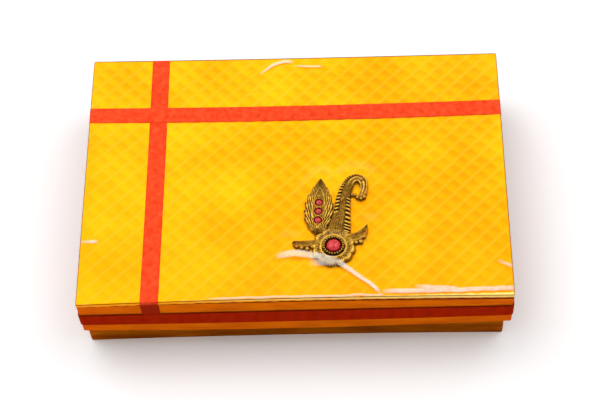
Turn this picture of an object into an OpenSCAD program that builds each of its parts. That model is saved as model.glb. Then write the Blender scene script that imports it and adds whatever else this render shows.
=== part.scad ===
// Rectangular gift box with a lift-off lid. Two paperboard trays, wrapped in foil paper, with
// red ribbons round the lid, a cast peacock ornament on it and clear film over it all.
// The origin is at the middle of the lid's outline, on the table. +X is right, +Y is back and
// +Z is up. Millimetres.

/* [Box] */
// Width of the lid, left to right, over its top sheet
lid_w = 300; // [220:1:400]
// Depth of the lid, front to back, over its top sheet
lid_d = 205; // [180:1:280]
// Height of the lid, from its lower edge to the top of its panel
lid_h = 38; // [34:0.5:45]
// Height of the closed box, from the table to the top of the lid's panel
box_h = 59; // [50:0.5:80]
// Radius of the upright corners, over the outer paper
corner_r = 1.4; // [1:0.1:3]

/* [Fit of the lid] */
// Play of the base inside the lid, left to right, both sides together
play_x = 3; // [1:0.1:5]
// Play of the base inside the lid, front to back, both sides together
play_y = 2.4; // [1:0.1:5]
// Share of the play by which the lid sits to the right of the base's middle
push_x = 0.8; // [-0.8:0.05:0.8]
// Share of the play by which the lid sits to the back of the base's middle
push_y = 0; // [-0.8:0.05:0.8]

/* [Board and paper] */
// Thickness of the greyboard
board_t = 1.4; // [1:0.1:2.5]
// Thickness of the foil papers and of the bottom sheet
paper_t = 0.2; // [0.15:0.05:0.4]
// Thickness of the corner stays, and of the glue coat beside them
stay_t = 0.1; // [0.1:0.05:0.2]
// Length of each leg of a corner stay
stay_leg = 14; // [8:1:25]
// Depth to which the wraps are turned in past the rims
turn_in = 14; // [8:1:18]
// Width to which the base's wrap is turned under the bottom
turn_under = 14; // [8:1:25]
// Strip of the base's wrap that shows round the bottom sheet
bottom_margin = 4; // [2:0.5:7]
// Depth to which the top sheet laps over the lid's edges
top_lap = 3; // [2:0.5:6]
// Gap between the edge of a lining and the edge of a turn-in
liner_gap = 0.5; // [0.3:0.1:2]

/* [Ribbons] */
// Width of the ribbons
ribbon_w = 12.7; // [6:0.1:20]
// Thickness of the ribbons
ribbon_t = 0.2; // [0.15:0.05:0.3]
// Distance from the lid's left edge to the middle of the crosswise ribbon
ribbon_from_left = 50.7; // [25:0.1:80]
// Distance from the lid's back edge to the middle of the lengthwise ribbon
ribbon_from_back = 49; // [25:0.1:70]
// Distance from the lid's top to the upper edge of the rim ribbon
rim_drop = 15.3; // [8:0.1:20]
// Length of the top ribbons' ends under the rim ribbon
ribbon_tuck = 5; // [2:0.5:5.5]
// Slack of one ribbon where it steps over another
step_slack = 0.6; // [0.3:0.1:2]
// Length of the rim ribbon's end where it laps over its start, at the back
rim_lap = 12; // [6:1:30]

/* [Ornament] */
// Distance of the rosette's middle to the right of the lid's middle
ornament_x = 27.4; // [-40:0.1:60]
// Distance of the rosette's middle from the lid's front edge
ornament_from_front = 41.5; // [30:0.1:80]
// Thickness of the foam pads under the ornament
pad_t = 1; // [0.5:0.1:2]
// Thickness of the bird
bird_t = 2.2; // [1.6:0.1:3]
// Thickness of the feather
feather_t = 1.8; // [1.4:0.1:3]
// Length of the feather
feather_l = 46; // [35:0.5:50]
// Width of the feather
feather_w = 22; // [14:0.5:24]
// Number of barbs on each side of the feather
barbs = 7; // [4:1:10]
// Height of the raised eye on the feather
eye_h = 0.5; // [0.3:0.1:1]
// Radius of the small stones
stone_r = 2.5; // [1.8:0.1:3]
// Distance from one small stone to the next
stone_pitch = 7.25; // [6.6:0.05:9]
// Depth of the small stones' seats
seat_h = 0.8; // [0.4:0.1:1]
// Width of the gap round a stone in its seat
stone_clearance = 0.3; // [0.05:0.05:0.4]
// Radius over the rosette's petals
rosette_r = 15.6; // [12:0.1:18]
// Number of petals
petals = 12; // [8:1:16]
// Thickness of the rosette
rosette_t = 2.4; // [1.8:0.1:3.5]
// Radius of the circle on which the beads lie
bead_ring_r = 6.7; // [6.3:0.1:8]
// Height of the band under the beads
bead_band_h = 0.85; // [0.8:0.05:1.2]
// Radius of a bead
bead_r = 0.75; // [0.5:0.05:0.75]
// Number of beads
beads = 22; // [14:1:24]
// Radius of the large stone
cabochon_r = 4.9; // [3.5:0.1:5.1]
// Height of the large stone
cabochon_h = 3; // [2:0.1:4]

/* [Film] */
// Thickness of the clear film
film_t = 0.1; // [0.1:0.05:0.2]
// Gap between the film and the ribbons
film_gap = 0.1; // [0.05:0.05:0.3]
// Width of the slope on which the film comes down round the ornament
film_slope = 12; // [6:1:20]
// Depth to which the film is turned in under the lid's lower edge
film_tuck = 6; // [3:1:10]

/* [Hidden] */
LID_NODES = ["lid_board", "lid_side_wrap", "lid_top_sheet", "lid_liner"];
RIBBON_NODES = ["ribbon_crosswise", "ribbon_lengthwise", "ribbon_rim"];
ORNAMENT_NODES = ["ornament_pads", "ornament_feather", "ornament_bird", "ornament_rosette",
    "ornament_bead_ring", "ornament_cabochon"];
BASE_NODES = ["base_board", "base_foil_wrap", "base_bottom_sheet", "base_liner"];
CORNERS = [1, 2, 3, 4];
STONES = [1, 2, 3];

$fn = 48;
// Overshoot of a cut past a face
cut = 1;
// Least radius of an inner corner
least_r = 0.1;

// Depths of the lid's layers, from its outline inwards
lid_wrap_out = paper_t;
lid_stay_out = lid_wrap_out + paper_t;
lid_board_out = lid_stay_out + stay_t;
lid_board_in = lid_board_out + board_t;
lid_in = lid_board_in + paper_t;
// Depths of the base's layers, from its outline inwards
base_stay_out = paper_t;
base_board_out = base_stay_out + stay_t;
base_board_in = base_board_out + board_t;
base_in = base_board_in + paper_t;

// Outline of the base, and its place inside the lid
base_w = lid_w - 2 * lid_in - play_x;
base_d = lid_d - 2 * lid_in - play_y;
base_x = -push_x * play_x / 2;
base_y = -push_y * play_y / 2;

// Heights of the lid's layers
lid_z = box_h - lid_h;
panel_top = box_h - paper_t;
panel_under = panel_top - board_t;
liner_under = panel_under - paper_t;
// Heights of the base's layers
rim_z = liner_under;
bottom_under = 2 * paper_t;
bottom_top = bottom_under + board_t;

// Heights and places of the ribbons
rim_top = box_h - rim_drop;
crosswise_x = ribbon_from_left - lid_w / 2;
lengthwise_y = lid_d / 2 - ribbon_from_back;
ribbon_end = rim_top - ribbon_tuck;

// Heights of the ornament's layers
casting_z = box_h + pad_t;
rosette_top = casting_z + rosette_t;
feather_top = casting_z + feather_t;
ornament_y = ornament_from_front - lid_d / 2;
ornament_top = rosette_top + cabochon_h;

// Feather, from the rosette's middle: foot of its midrib, and its lean to the right in degrees
feather_foot = [-11.4, 10.3];
feather_lean = 3.7;
// Shares of the feather's length at which the lowest stone lies and the eye starts and ends
first_stone = 0.24;
eye_start = 0.12;
eye_end = 0.82;
// Half width of the eye, as a share of the feather's
eye_share = 0.38;
// Depth of the notches between the barbs, as a share of the half width
notch = 0.16;
barb_steps = 8;

// Middle line of the bird's neck from its body to its beak, with its half width
neck = [[1, 2, 8], [3.4, 12, 8.2], [4.7, 19, 7.3], [6.3, 29, 5.8], [7.2, 37.5, 5.2],
    [8.6, 45, 4.6], [10.8, 51, 4], [13.2, 54.8, 3.5], [16.9, 56.5, 3.1], [20.5, 55, 2.9],
    [22, 51.4, 2.8], [21.8, 47, 2.7], [20.4, 42.8, 2.1], [18.4, 39.8, 0.9]];
neck_steps = 70;
// Curls round the beak: middle and radius
curls = [[13.4, 42.6, 1.1], [15.4, 42.6, 1.4], [17.4, 40.6, 1.6], [19.8, 39.6, 1.5],
    [22, 40.8, 1.6], [22.8, 43.4, 1.2]];
// Middle lines of the wings, with their half width
left_wing = [[-6, 2, 3.6], [-13, 3, 2.4], [-20, 2.8, 2.5], [-26, 3, 2.3], [-28.4, 3.6, 1.1]];
right_wing = [[5, 5, 5], [12, 6.6, 3.4], [17.4, 8.2, 3.4], [21.4, 12, 2.4], [23.6, 16.4, 0.5]];
wing_steps = 24;
// Scallops under the wings: middle and radius
left_scallops = [[-25.6, 1.4, 1.7], [-22, 0.2, 1.6], [-18.2, -0.8, 1.8], [-14.6, 0.6, 1.6]];
right_scallops = [[12.6, 4, 1.7], [15.8, 3.4, 1.7], [19, 4, 1.9], [21.4, 8, 1.7]];

// Sides of a curl or scallop
scallop_sides = 12;

// Foam pads: middle from the rosette's middle, and radius
pads = [[0, 0, 8], [-10, 27, 5], [6.3, 29, 4]];

// Outline of the film's raised part, from the rosette's middle: left, front, right and back
tent_left = -29;
tent_front = -16;
tent_right = 26;
tent_back = 59;
tent_gap = 0.2;

function corner_radius(depth) = max(corner_r - depth, least_r);

// Point at share t of the way along a smooth curve through the points p
function along(p, t) =
    let (
        last = len(p) - 1,
        at = min(t, 0.9999) * last,
        i = floor(at),
        f = at - i,
        a = p[max(i - 1, 0)],
        b = p[i],
        c = p[i + 1],
        d = p[min(i + 2, last)]
    )
    b + (f / 2) * ((c - a) + f * ((2 * a - 5 * b + 4 * c - d) + f * (3 * b - a - 3 * c + d)));

// Point beside the curve, at its half width times side
function beside(p, t, side) =
    let (
        q = along(p, t),
        ahead = along(p, min(t + 0.01, 1)) - along(p, max(t - 0.01, 0)),
        n = [-ahead.y, ahead.x] / norm([ahead.x, ahead.y])
    )
    [q.x, q.y] + side * q.z * n;

// Half width of the feather at share t of its length, as a full leaf that is widest below half way
function leaf(t) = feather_w / 2 * pow(sin(180 * pow(t, 0.8)), 0.75);

// Flame-shaped edge: each barb swells outwards towards its tip, then drops back
function flame(t) = leaf(t) * (1 - notch + notch * (t * barbs - floor(t * barbs)));

// Upright plate with rounded corners, set in from an outline of w by d
module plate(w, d, depth, z0, z1) {
    r = corner_radius(depth);
    translate([0, 0, z0]) linear_extrude(z1 - z0) {
        square([w - 2 * depth, d - 2 * depth - 2 * r], center = true);
        square([w - 2 * depth - 2 * r, d - 2 * depth], center = true);
        for (x = [-1, 1], y = [-1, 1])
            translate([x * (w / 2 - depth - r), y * (d / 2 - depth - r)]) circle(r);
    }
}

// Wall between two depths inside an outline of w by d
module wall(w, d, out, in, z0, z1) {
    difference() {
        plate(w, d, out, z0, z1);
        plate(w, d, in, z0 - cut, z1 + cut);
    }
}

// One of the four upright corners of a wall
module corner(w, d, out, in, leg, z0, z1, i) {
    x = i == 1 || i == 4 ? -1 : 1;
    y = i < 3 ? -1 : 1;
    intersection() {
        wall(w, d, out, in, z0, z1);
        translate([x * (w / 2 - leg / 2), y * (d / 2 - leg / 2), (z0 + z1) / 2])
            cube([leg, leg, z1 - z0 + 2 * cut], center = true);
    }
}

module at_base() {
    translate([base_x, base_y, 0]) children();
}

module base_board() {
    color("#a89f91") at_base() difference() {
        plate(base_w, base_d, base_board_out, bottom_under, rim_z - paper_t);
        plate(base_w, base_d, base_board_in, bottom_top, rim_z + cut);
    }
}

module base_corner_stay(i) {
    color("#c9a873") at_base()
        corner(base_w, base_d, base_stay_out, base_board_out, stay_leg,
            bottom_under, rim_z - paper_t, i);
}

module base_foil_wrap() {
    color("#a86a10") at_base() {
        wall(base_w, base_d, 0, base_stay_out, paper_t, rim_z);
        wall(base_w, base_d, 0, base_in, rim_z - paper_t, rim_z);
        wall(base_w, base_d, base_board_in, base_in, rim_z - turn_in, rim_z);
        wall(base_w, base_d, 0, turn_under, paper_t, bottom_under);
    }
}

module base_bottom_sheet() {
    color("#f0ece2") at_base() {
        plate(base_w, base_d, bottom_margin, 0, paper_t);
        plate(base_w, base_d, turn_under + liner_gap, 0, bottom_under);
    }
}

module base_liner() {
    color("#f4f0e6") at_base() difference() {
        plate(base_w, base_d, base_board_in, bottom_top, rim_z - turn_in - liner_gap);
        plate(base_w, base_d, base_in, bottom_top + paper_t, rim_z);
    }
}

module lid_board() {
    color("#a89f91") difference() {
        plate(lid_w, lid_d, lid_board_out, lid_z + paper_t, panel_top);
        plate(lid_w, lid_d, lid_board_in, lid_z - cut, panel_under);
    }
}

module lid_corner_stay(i) {
    color("#c9a873")
        corner(lid_w, lid_d, lid_stay_out, lid_board_out, stay_leg,
            lid_z + paper_t, panel_top, i);
}

module lid_side_wrap() {
    color("#c88612") {
        wall(lid_w, lid_d, lid_wrap_out, lid_stay_out, lid_z, panel_top);
        wall(lid_w, lid_d, lid_wrap_out, lid_in, lid_z, lid_z + paper_t);
        wall(lid_w, lid_d, lid_board_in, lid_in, lid_z, lid_z + turn_in);
    }
}

module lid_top_sheet() {
    color("#fcc81a") difference() {
        plate(lid_w, lid_d, 0, box_h - top_lap, box_h);
        plate(lid_w, lid_d, lid_wrap_out, box_h - top_lap - cut, panel_top);
    }
}

module lid_liner() {
    color("#f4f0e6") difference() {
        plate(lid_w, lid_d, lid_board_in, lid_z + turn_in + liner_gap, panel_under);
        plate(lid_w, lid_d, lid_in, lid_z, liner_under);
    }
}

// Ribbon over a panel of the given span, along X: the strip on top, and at each end a step
// over the top sheet's lap and a strip down the wall to the tuck
module over_lid(span) {
    reach = span / 2 + ribbon_t;
    translate([-reach, -ribbon_w / 2, box_h]) cube([2 * reach, ribbon_w, ribbon_t]);
    for (side = [0, 180]) rotate([0, 0, side]) {
        translate([span / 2, -ribbon_w / 2, box_h - top_lap - step_slack])
            cube([ribbon_t, ribbon_w, top_lap + step_slack + ribbon_t]);
        translate([span / 2 - paper_t, -ribbon_w / 2, ribbon_end])
            cube([ribbon_t, ribbon_w, box_h - top_lap - ribbon_end]);
    }
}

module ribbon_crosswise() {
    color("#e8431f") translate([crosswise_x, 0, 0]) rotate([0, 0, 90]) over_lid(lid_d);
}

module ribbon_lengthwise() {
    color("#e8431f") difference() {
        union() {
            translate([0, lengthwise_y, 0]) over_lid(lid_w);
            translate([crosswise_x, lengthwise_y, box_h + ribbon_t])
                cube([ribbon_w + 2 * step_slack, ribbon_w, 2 * ribbon_t], center = true);
        }
        ribbon_crosswise();
    }
}

module ribbon_rim() {
    step = ribbon_w + 2 * step_slack;
    out = paper_t - ribbon_t;
    color("#c22d12") difference() {
        union() {
            wall(lid_w, lid_d, out, paper_t, rim_top - ribbon_w, rim_top);
            for (y = [-1, 1]) translate([crosswise_x, y * (lid_d / 2 - out), rim_top - ribbon_w / 2])
                cube([step, 2 * ribbon_t, ribbon_w], center = true);
            for (x = [-1, 1]) translate([x * (lid_w / 2 - out), lengthwise_y, rim_top - ribbon_w / 2])
                cube([2 * ribbon_t, step, ribbon_w], center = true);
            translate([lid_w / 4, lid_d / 2 - out, rim_top - ribbon_w / 2])
                cube([rim_lap, 2 * ribbon_t, ribbon_w], center = true);
        }
        ribbon_crosswise();
        ribbon_lengthwise();
        plate(lid_w, lid_d, paper_t, rim_top - ribbon_w - cut, rim_top + cut);
    }
}

module at_ornament(z) {
    translate([ornament_x, ornament_y, z]) children();
}

// Flat band along a curve
module band(p, steps) {
    polygon(concat(
        [for (i = [0:steps]) beside(p, i / steps, 1)],
        [for (i = [0:steps]) beside(p, 1 - i / steps, -1)]));
}

module rosette_outline() {
    petal_r = 1.15 * PI * rosette_r / petals / (1 + PI / petals);
    circle(rosette_r - petal_r);
    for (i = [0:petals - 1]) rotate(20 + i * 360 / petals)
        translate([rosette_r - petal_r, 0]) circle(petal_r);
}

// Whole bird of height h, with its middle under the rosette still in place
module bird_form(h) {
    linear_extrude(h) band(neck, neck_steps);
    linear_extrude(h) band(left_wing, wing_steps);
    linear_extrude(h) band(right_wing, wing_steps);
    for (c = concat(curls, left_scallops, right_scallops))
        translate([c.x, c.y]) cylinder(r = c.z, h = h, $fn = scallop_sides);
}

module feather_frame() {
    translate(feather_foot) rotate(-feather_lean) children();
}

module feather_outline() {
    steps = barbs * barb_steps;
    polygon(concat(
        [for (i = [0:steps]) [flame(i / steps), feather_l * i / steps]],
        [for (i = [steps - 1:-1:1]) [-flame(i / steps), feather_l * i / steps]]));
}

module eye_outline() {
    steps = 24;
    span = (eye_end - eye_start) * feather_l;
    half = eye_share * feather_w / 2;
    polygon(concat(
        [for (i = [0:steps]) [half * sin(180 * i / steps), eye_start * feather_l + span * i / steps]],
        [for (i = [steps - 1:-1:1])
            [-half * sin(180 * i / steps), eye_start * feather_l + span * i / steps]]));
}

// Place of small stone i on the feather's midrib, counted from the foot
module at_stone(i) {
    feather_frame() translate([0, first_stone * feather_l + (i - 1) * stone_pitch]) children();
}

// Domed stone on a flat back, as the cap of a sphere
module dome(r, h) {
    ball = (r * r + h * h) / (2 * h);
    intersection() {
        translate([0, 0, h - ball]) sphere(ball);
        cylinder(r = r, h = h);
    }
}

module ornament_pads() {
    color("#e9e4d8") at_ornament(box_h)
        for (p = pads) translate([p.x, p.y]) cylinder(r = p.z, h = pad_t);
}

module ornament_feather() {
    color("#8a6426") at_ornament(casting_z) difference() {
        union() {
            linear_extrude(feather_t) feather_frame() feather_outline();
            linear_extrude(feather_t + eye_h) feather_frame() eye_outline();
        }
        translate([0, 0, -cut]) bird_form(feather_t + eye_h + 2 * cut);
        translate([0, 0, -cut]) linear_extrude(feather_t + eye_h + 2 * cut) rosette_outline();
        for (i = STONES) at_stone(i) translate([0, 0, feather_t + eye_h - seat_h])
            cylinder(r = stone_r + stone_clearance, h = seat_h + cut);
    }
}

module ornament_bird() {
    color("#8f6a2a") at_ornament(casting_z) difference() {
        bird_form(bird_t);
        translate([0, 0, -cut]) linear_extrude(bird_t + 2 * cut) rosette_outline();
    }
}

module ornament_rosette() {
    color("#9a7330") at_ornament(casting_z) linear_extrude(rosette_t) rosette_outline();
}

module ornament_bead_ring() {
    color("#6d4f20") at_ornament(rosette_top) {
        difference() {
            cylinder(r = bead_ring_r + bead_r / 2, h = bead_band_h);
            translate([0, 0, -cut])
                cylinder(r = cabochon_r + stone_clearance, h = bead_band_h + 2 * cut);
        }
        for (i = [0:beads - 1]) rotate(i * 360 / beads)
            translate([bead_ring_r, 0, bead_band_h]) sphere(bead_r, $fn = 16);
    }
}

module ornament_cabochon() {
    color("#d8202c") at_ornament(rosette_top) dome(cabochon_r, cabochon_h);
}

module feather_stone(i) {
    color("#b8262a") at_ornament(feather_top + eye_h - seat_h)
        at_stone(i) dome(stone_r, seat_h + stone_r / 2);
}

// Solid under the film's outer face, grown by t over its inner one
module film_block(t) {
    out = -(ribbon_t + film_gap + t);
    top = box_h + 2 * ribbon_t + film_gap + t;
    plate(lid_w, lid_d, out, lid_z - cut, top);
    hull() {
        at_ornament(top - cut) tent(film_slope + t, cut);
        at_ornament(top) tent(t, ornament_top + tent_gap - box_h - 2 * ribbon_t - film_gap);
    }
}

// Block over the ornament's outline, grown sideways by extra
module tent(extra, h) {
    translate([tent_left - extra, tent_front - extra, 0])
        cube([tent_right - tent_left + 2 * extra, tent_back - tent_front + 2 * extra, h]);
}

module lid_film() {
    side = -(ribbon_t + film_gap);
    color([0.9, 0.95, 1, 0.25]) difference() {
        intersection() {
            film_block(film_t);
            plate(lid_w, lid_d, side - film_t, lid_z - film_t, ornament_top + 2 * cut);
        }
        difference() {
            film_block(0);
            wall(lid_w, lid_d, side, lid_in, lid_z - 2 * cut, lid_z);
        }
        plate(lid_w, lid_d, film_tuck, lid_z - cut, lid_z + cut);
    }
}

base_board();
base_foil_wrap();
base_bottom_sheet();
base_liner();
for (i = CORNERS) {
    base_corner_stay(i);
    lid_corner_stay(i);
}
lid_board();
lid_side_wrap();
lid_top_sheet();
lid_liner();
ribbon_crosswise();
ribbon_lengthwise();
ribbon_rim();
ornament_pads();
ornament_feather();
ornament_bird();
ornament_rosette();
ornament_bead_ring();
ornament_cabochon();
for (i = STONES) feather_stone(i);
lid_film();
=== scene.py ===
from math import pi, radians

import bmesh
import bpy
import numpy as np
from mathutils import Matrix, Vector


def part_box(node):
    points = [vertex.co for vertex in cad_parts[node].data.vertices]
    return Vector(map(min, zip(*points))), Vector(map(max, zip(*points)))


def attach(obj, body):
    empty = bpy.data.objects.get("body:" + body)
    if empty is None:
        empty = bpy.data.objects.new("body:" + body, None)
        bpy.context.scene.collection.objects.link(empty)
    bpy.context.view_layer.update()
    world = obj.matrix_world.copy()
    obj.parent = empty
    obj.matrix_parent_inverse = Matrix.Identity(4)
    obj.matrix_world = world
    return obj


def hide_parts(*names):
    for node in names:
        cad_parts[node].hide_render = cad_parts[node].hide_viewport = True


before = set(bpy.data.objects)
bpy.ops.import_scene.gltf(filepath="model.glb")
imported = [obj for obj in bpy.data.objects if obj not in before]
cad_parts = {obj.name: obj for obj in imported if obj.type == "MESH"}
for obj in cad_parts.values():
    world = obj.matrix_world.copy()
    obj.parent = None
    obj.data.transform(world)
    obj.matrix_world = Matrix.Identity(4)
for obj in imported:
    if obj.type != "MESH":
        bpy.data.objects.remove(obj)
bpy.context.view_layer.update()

# Lengths are in metres, written as millimetres times MM. The ornament alone is in millimetres
MM = 0.001

# Sizes read from the frame
LID_LOW, LID_HIGH = (np.array(corner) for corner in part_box("lid_top_sheet"))
WRAP_LOW, WRAP_HIGH = (np.array(corner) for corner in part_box("lid_side_wrap"))
BASE_LOW, BASE_HIGH = (np.array(corner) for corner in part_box("base_foil_wrap"))
ROSETTE_LOW, ROSETTE_HIGH = (np.array(corner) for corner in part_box("ornament_rosette"))
RIM_LOW, RIM_HIGH = (np.array(corner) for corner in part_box("ribbon_rim"))
CROSS_LOW, CROSS_HIGH = (np.array(corner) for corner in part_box("ribbon_crosswise"))
LENGTH_LOW, LENGTH_HIGH = (np.array(corner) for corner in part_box("ribbon_lengthwise"))
HALF_W, HALF_D = LID_HIGH[0], LID_HIGH[1]
TOP_Z, LAP_Z = LID_HIGH[2], LID_LOW[2]
LID_Z = WRAP_LOW[2]
BASE_X, BASE_Y = (BASE_LOW[:2] + BASE_HIGH[:2]) / 2
BASE_HALF_W, BASE_HALF_D = (BASE_HIGH[:2] - BASE_LOW[:2]) / 2
RIM_Z = BASE_HIGH[2]
ROSETTE_X, ROSETTE_Y = (ROSETTE_LOW[:2] + ROSETTE_HIGH[:2]) / 2
CROSS_X = (CROSS_LOW[0] + CROSS_HIGH[0]) / 2
LENGTH_Y = (LENGTH_LOW[1] + LENGTH_HIGH[1]) / 2
RIBBON_W = CROSS_HIGH[0] - CROSS_LOW[0]
RIBBON_END = CROSS_LOW[2]

# Layers of board and paper, and the radius of the upright corners over the outer paper
CORNER_R = 1.4 * MM
LEAST_R = 0.1 * MM
PAPER = 0.2 * MM
STAY = 0.1 * MM
BOARD = 1.4 * MM
FOLD = 0.25 * MM
TURN_IN = 14 * MM
GAP = 0.5 * MM
STAY_LEG = 12.6 * MM
SHEET_INSET = 4 * MM

# Depths of the layers inside the outline, and heights of the lid's panel
LID_BOARD_OUT = 2 * PAPER + STAY
LID_BOARD_IN = LID_BOARD_OUT + BOARD
LID_IN = LID_BOARD_IN + PAPER
PANEL_TOP = TOP_Z - PAPER
PANEL_UNDER = PANEL_TOP - BOARD
LINER_UNDER = PANEL_UNDER - PAPER
BASE_BOARD_OUT = PAPER + STAY
BASE_BOARD_IN = BASE_BOARD_OUT + BOARD
BASE_IN = BASE_BOARD_IN + PAPER

# Steps of a tray's section along half its panel and down its wall
PANEL_STEPS = 16
WALL_STEPS = 8

# Ribbons and film. RIBBON_DIP is the share of the embossing that shows through a ribbon, and the rim
# ribbon's faces lie RIM_INNER and RIM_OUTER outside the lid's outline
RIBBON_T = 0.15 * MM
RIBBON_CROWN = 0.05 * MM
RIBBON_LIFT = 0.06 * MM
RIBBON_DIP = 0.4
RIBBON_STEP = 1.4 * MM
CROSSING_LIFT = 0.24 * MM
CROSSING_SLOPE = 1.5 * MM
RIM_INNER = 0.32 * MM
RIM_OUTER = 0.5 * MM
LAP = 12 * MM
LAP_T = 0.18 * MM
LAP_SINK = 0.02 * MM
FILM_T = 0.06 * MM
FILM_OUT = 0.75 * MM
FILM_RIPPLE = 0.12 * MM
FILM_STEP = 1.7 * MM

# Lattice of the embossing: a diamond's width and depth, the height of its pillow, the edge of the panel
# where it fades out, the steps that each diamond is cut into, and the board's clearance under it
DIAMOND_W = 13.24 * MM
DIAMOND_D = 13 * MM
PILLOW_H = 0.42 * MM
PLAIN_EDGE = 4 * MM
DIAMOND_STEPS = 11
UNDER_VALLEYS = 0.1 * MM

# Lower edge of the top sheet: the height of its waves, and how far past the panel they start
WAVE_H = 0.25 * MM
WAVY_PAST = 1.5 * MM

# How the paperboard has warped: the lid's sag and twist, the bow of its front wall at the top and its
# flare at the foot, the bow of its back wall and of the base's front wall, and how far a bow reaches in
SAG = 3.4 * MM
TWIST = 1.133 * MM
BOW_TOP = 1.6 * MM
FLARE = 1.8 * MM
BOW_BACK = 0.7 * MM
BASE_BOW = 1.3 * MM
BOW_REACH = 30 * MM

# Camera: its place, its angles in degrees, and its focal length in pixels of the picture's width
CAMERA_AT = (0.0468, -0.6236, 1.0399)
CAMERA_PITCH = 58.408
CAMERA_ROLL = -4.756
CAMERA_YAW = 4.054
FOCAL_PIXELS = 1630.7
PHOTO_W = 600
SENSOR_W = 36

# Studio: the world's strength on the object, the place, size and watts of each lamp, the point that
# the lamps face, and how far the floor reaches
WORLD_LEVEL = 0.72
LEFT_BOX = ((-1.5, 1.0, 2.8), 3.0, 50)
RIGHT_BOX = ((1.7, 0.8, 2.6), 2.4, 26)
LAMP_AIM = (0, 0, 0.05)
FLOOR_REACH = 6.0


def srgb(red, green, blue):
    """Linear colour of an sRGB one: ((v + 0.055) / 1.055) ** 2.4, or v / 12.92 in the darkest tones."""
    v = np.array([red, green, blue]) / 255
    linear = np.where(v <= 0.04045, v / 12.92, ((v + 0.055) / 1.055) ** 2.4)
    return (*linear.tolist(), 1.0)


class Value:
    """A number that varies over a surface. Arithmetic on it adds Math nodes to its look."""

    def __init__(self, look, socket):
        self.look, self.socket = look, socket

    def __add__(self, other):
        return self.look.math("ADD", self, other)

    def __sub__(self, other):
        return self.look.math("SUBTRACT", self, other)

    def __rsub__(self, other):
        return self.look.math("SUBTRACT", other, self)

    def __mul__(self, other):
        return self.look.math("MULTIPLY", self, other)

    def __truediv__(self, other):
        return self.look.math("DIVIDE", self, other)

    __radd__ = __add__
    __rmul__ = __mul__

    def clamped(self):
        return self.look.node("ShaderNodeClamp", {}, {0: self})

    def wave(self):
        return self.look.math("SINE", self)

    def cycles(self, length):
        """Sine wave that repeats once in each length."""
        return (self * (2 * pi / length)).wave()

    def size(self):
        return self.look.math("ABSOLUTE", self)

    def ridge(self):
        """0 in the middle of each unit and 1 at its ends: 2 |frac(v) - 0.5|."""
        return (self.look.math("FRACT", self) - 0.5).size() * 2

    def above(self, low, high):
        """0 up to low and 1 from high on, with a straight slope between."""
        return ((self - low) / (high - low)).clamped()


class Look:
    """One finish: a material, its principled shader and the nodes that feed it."""

    def __init__(self, name, **constants):
        self.material = bpy.data.materials.new(name)
        self.material.use_nodes = True
        self.tree = self.material.node_tree
        self.shader = self.tree.nodes["Principled BSDF"]
        for socket, value in constants.items():
            self.shader.inputs[socket.replace("_", " ")].default_value = value

    def node(self, kind, settings, inputs, output=0):
        """Adds a node, sets it up, fills its sockets with links or constants, and gives one output."""
        made = self.tree.nodes.new(kind)
        stops = settings.pop("stops", None)
        for setting, value in settings.items():
            setattr(made, setting, value)
        if stops:
            ramp = made.color_ramp.elements
            ramp[0].position, ramp[0].color = stops[0]
            ramp[1].position, ramp[1].color = stops[-1]
            for at, colour in stops[1:-1]:
                ramp.new(at).color = colour
        for socket, value in inputs.items():
            self.join(made.inputs[socket], value)
        return Value(self, made.outputs[output])

    def join(self, socket, value):
        if isinstance(value, Value):
            self.tree.links.new(value.socket, socket)
        else:
            socket.default_value = value

    def math(self, operation, *values):
        return self.node("ShaderNodeMath", {"operation": operation}, dict(enumerate(values)))

    def mix(self, share, first, second):
        return self.node("ShaderNodeMix", {"data_type": "RGBA"}, {0: share, 6: first, 7: second}, 2)

    def place(self):
        return self.node("ShaderNodeTexCoord", {}, {}, "Object")

    def axes(self, vector=None):
        split = self.node("ShaderNodeSeparateXYZ", {}, {0: vector or self.place()})
        outputs = split.socket.node.outputs
        return [Value(self, outputs[i]) for i in range(3)]

    def noise(self, per_metre, detail=3.0, roughness=0.55, vector=None):
        inputs = {"Vector": vector or self.place(), "Scale": per_metre, "Detail": detail,
                  "Roughness": roughness}
        return self.node("ShaderNodeTexNoise", {}, inputs)

    def attribute(self, name):
        return self.node("ShaderNodeAttribute", {"attribute_name": name}, {}, "Fac")

    def bump(self, height, distance, strength=1.0):
        inputs = {"Height": height, "Distance": distance, "Strength": strength}
        self.feed("Normal", self.node("ShaderNodeBump", {}, inputs))

    def feed(self, socket, value):
        self.join(self.shader.inputs[socket], value)


def lattice(x, y):
    """The two coordinates that count the diamonds: x / width + y / depth, and x / width - y / depth."""
    return x / DIAMOND_W + y / DIAMOND_D, x / DIAMOND_W - y / DIAMOND_D


# Tint of the foils' reflections where the surface is seen edge on
EDGE_TINT = srgb(255, 120, 8)


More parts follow.
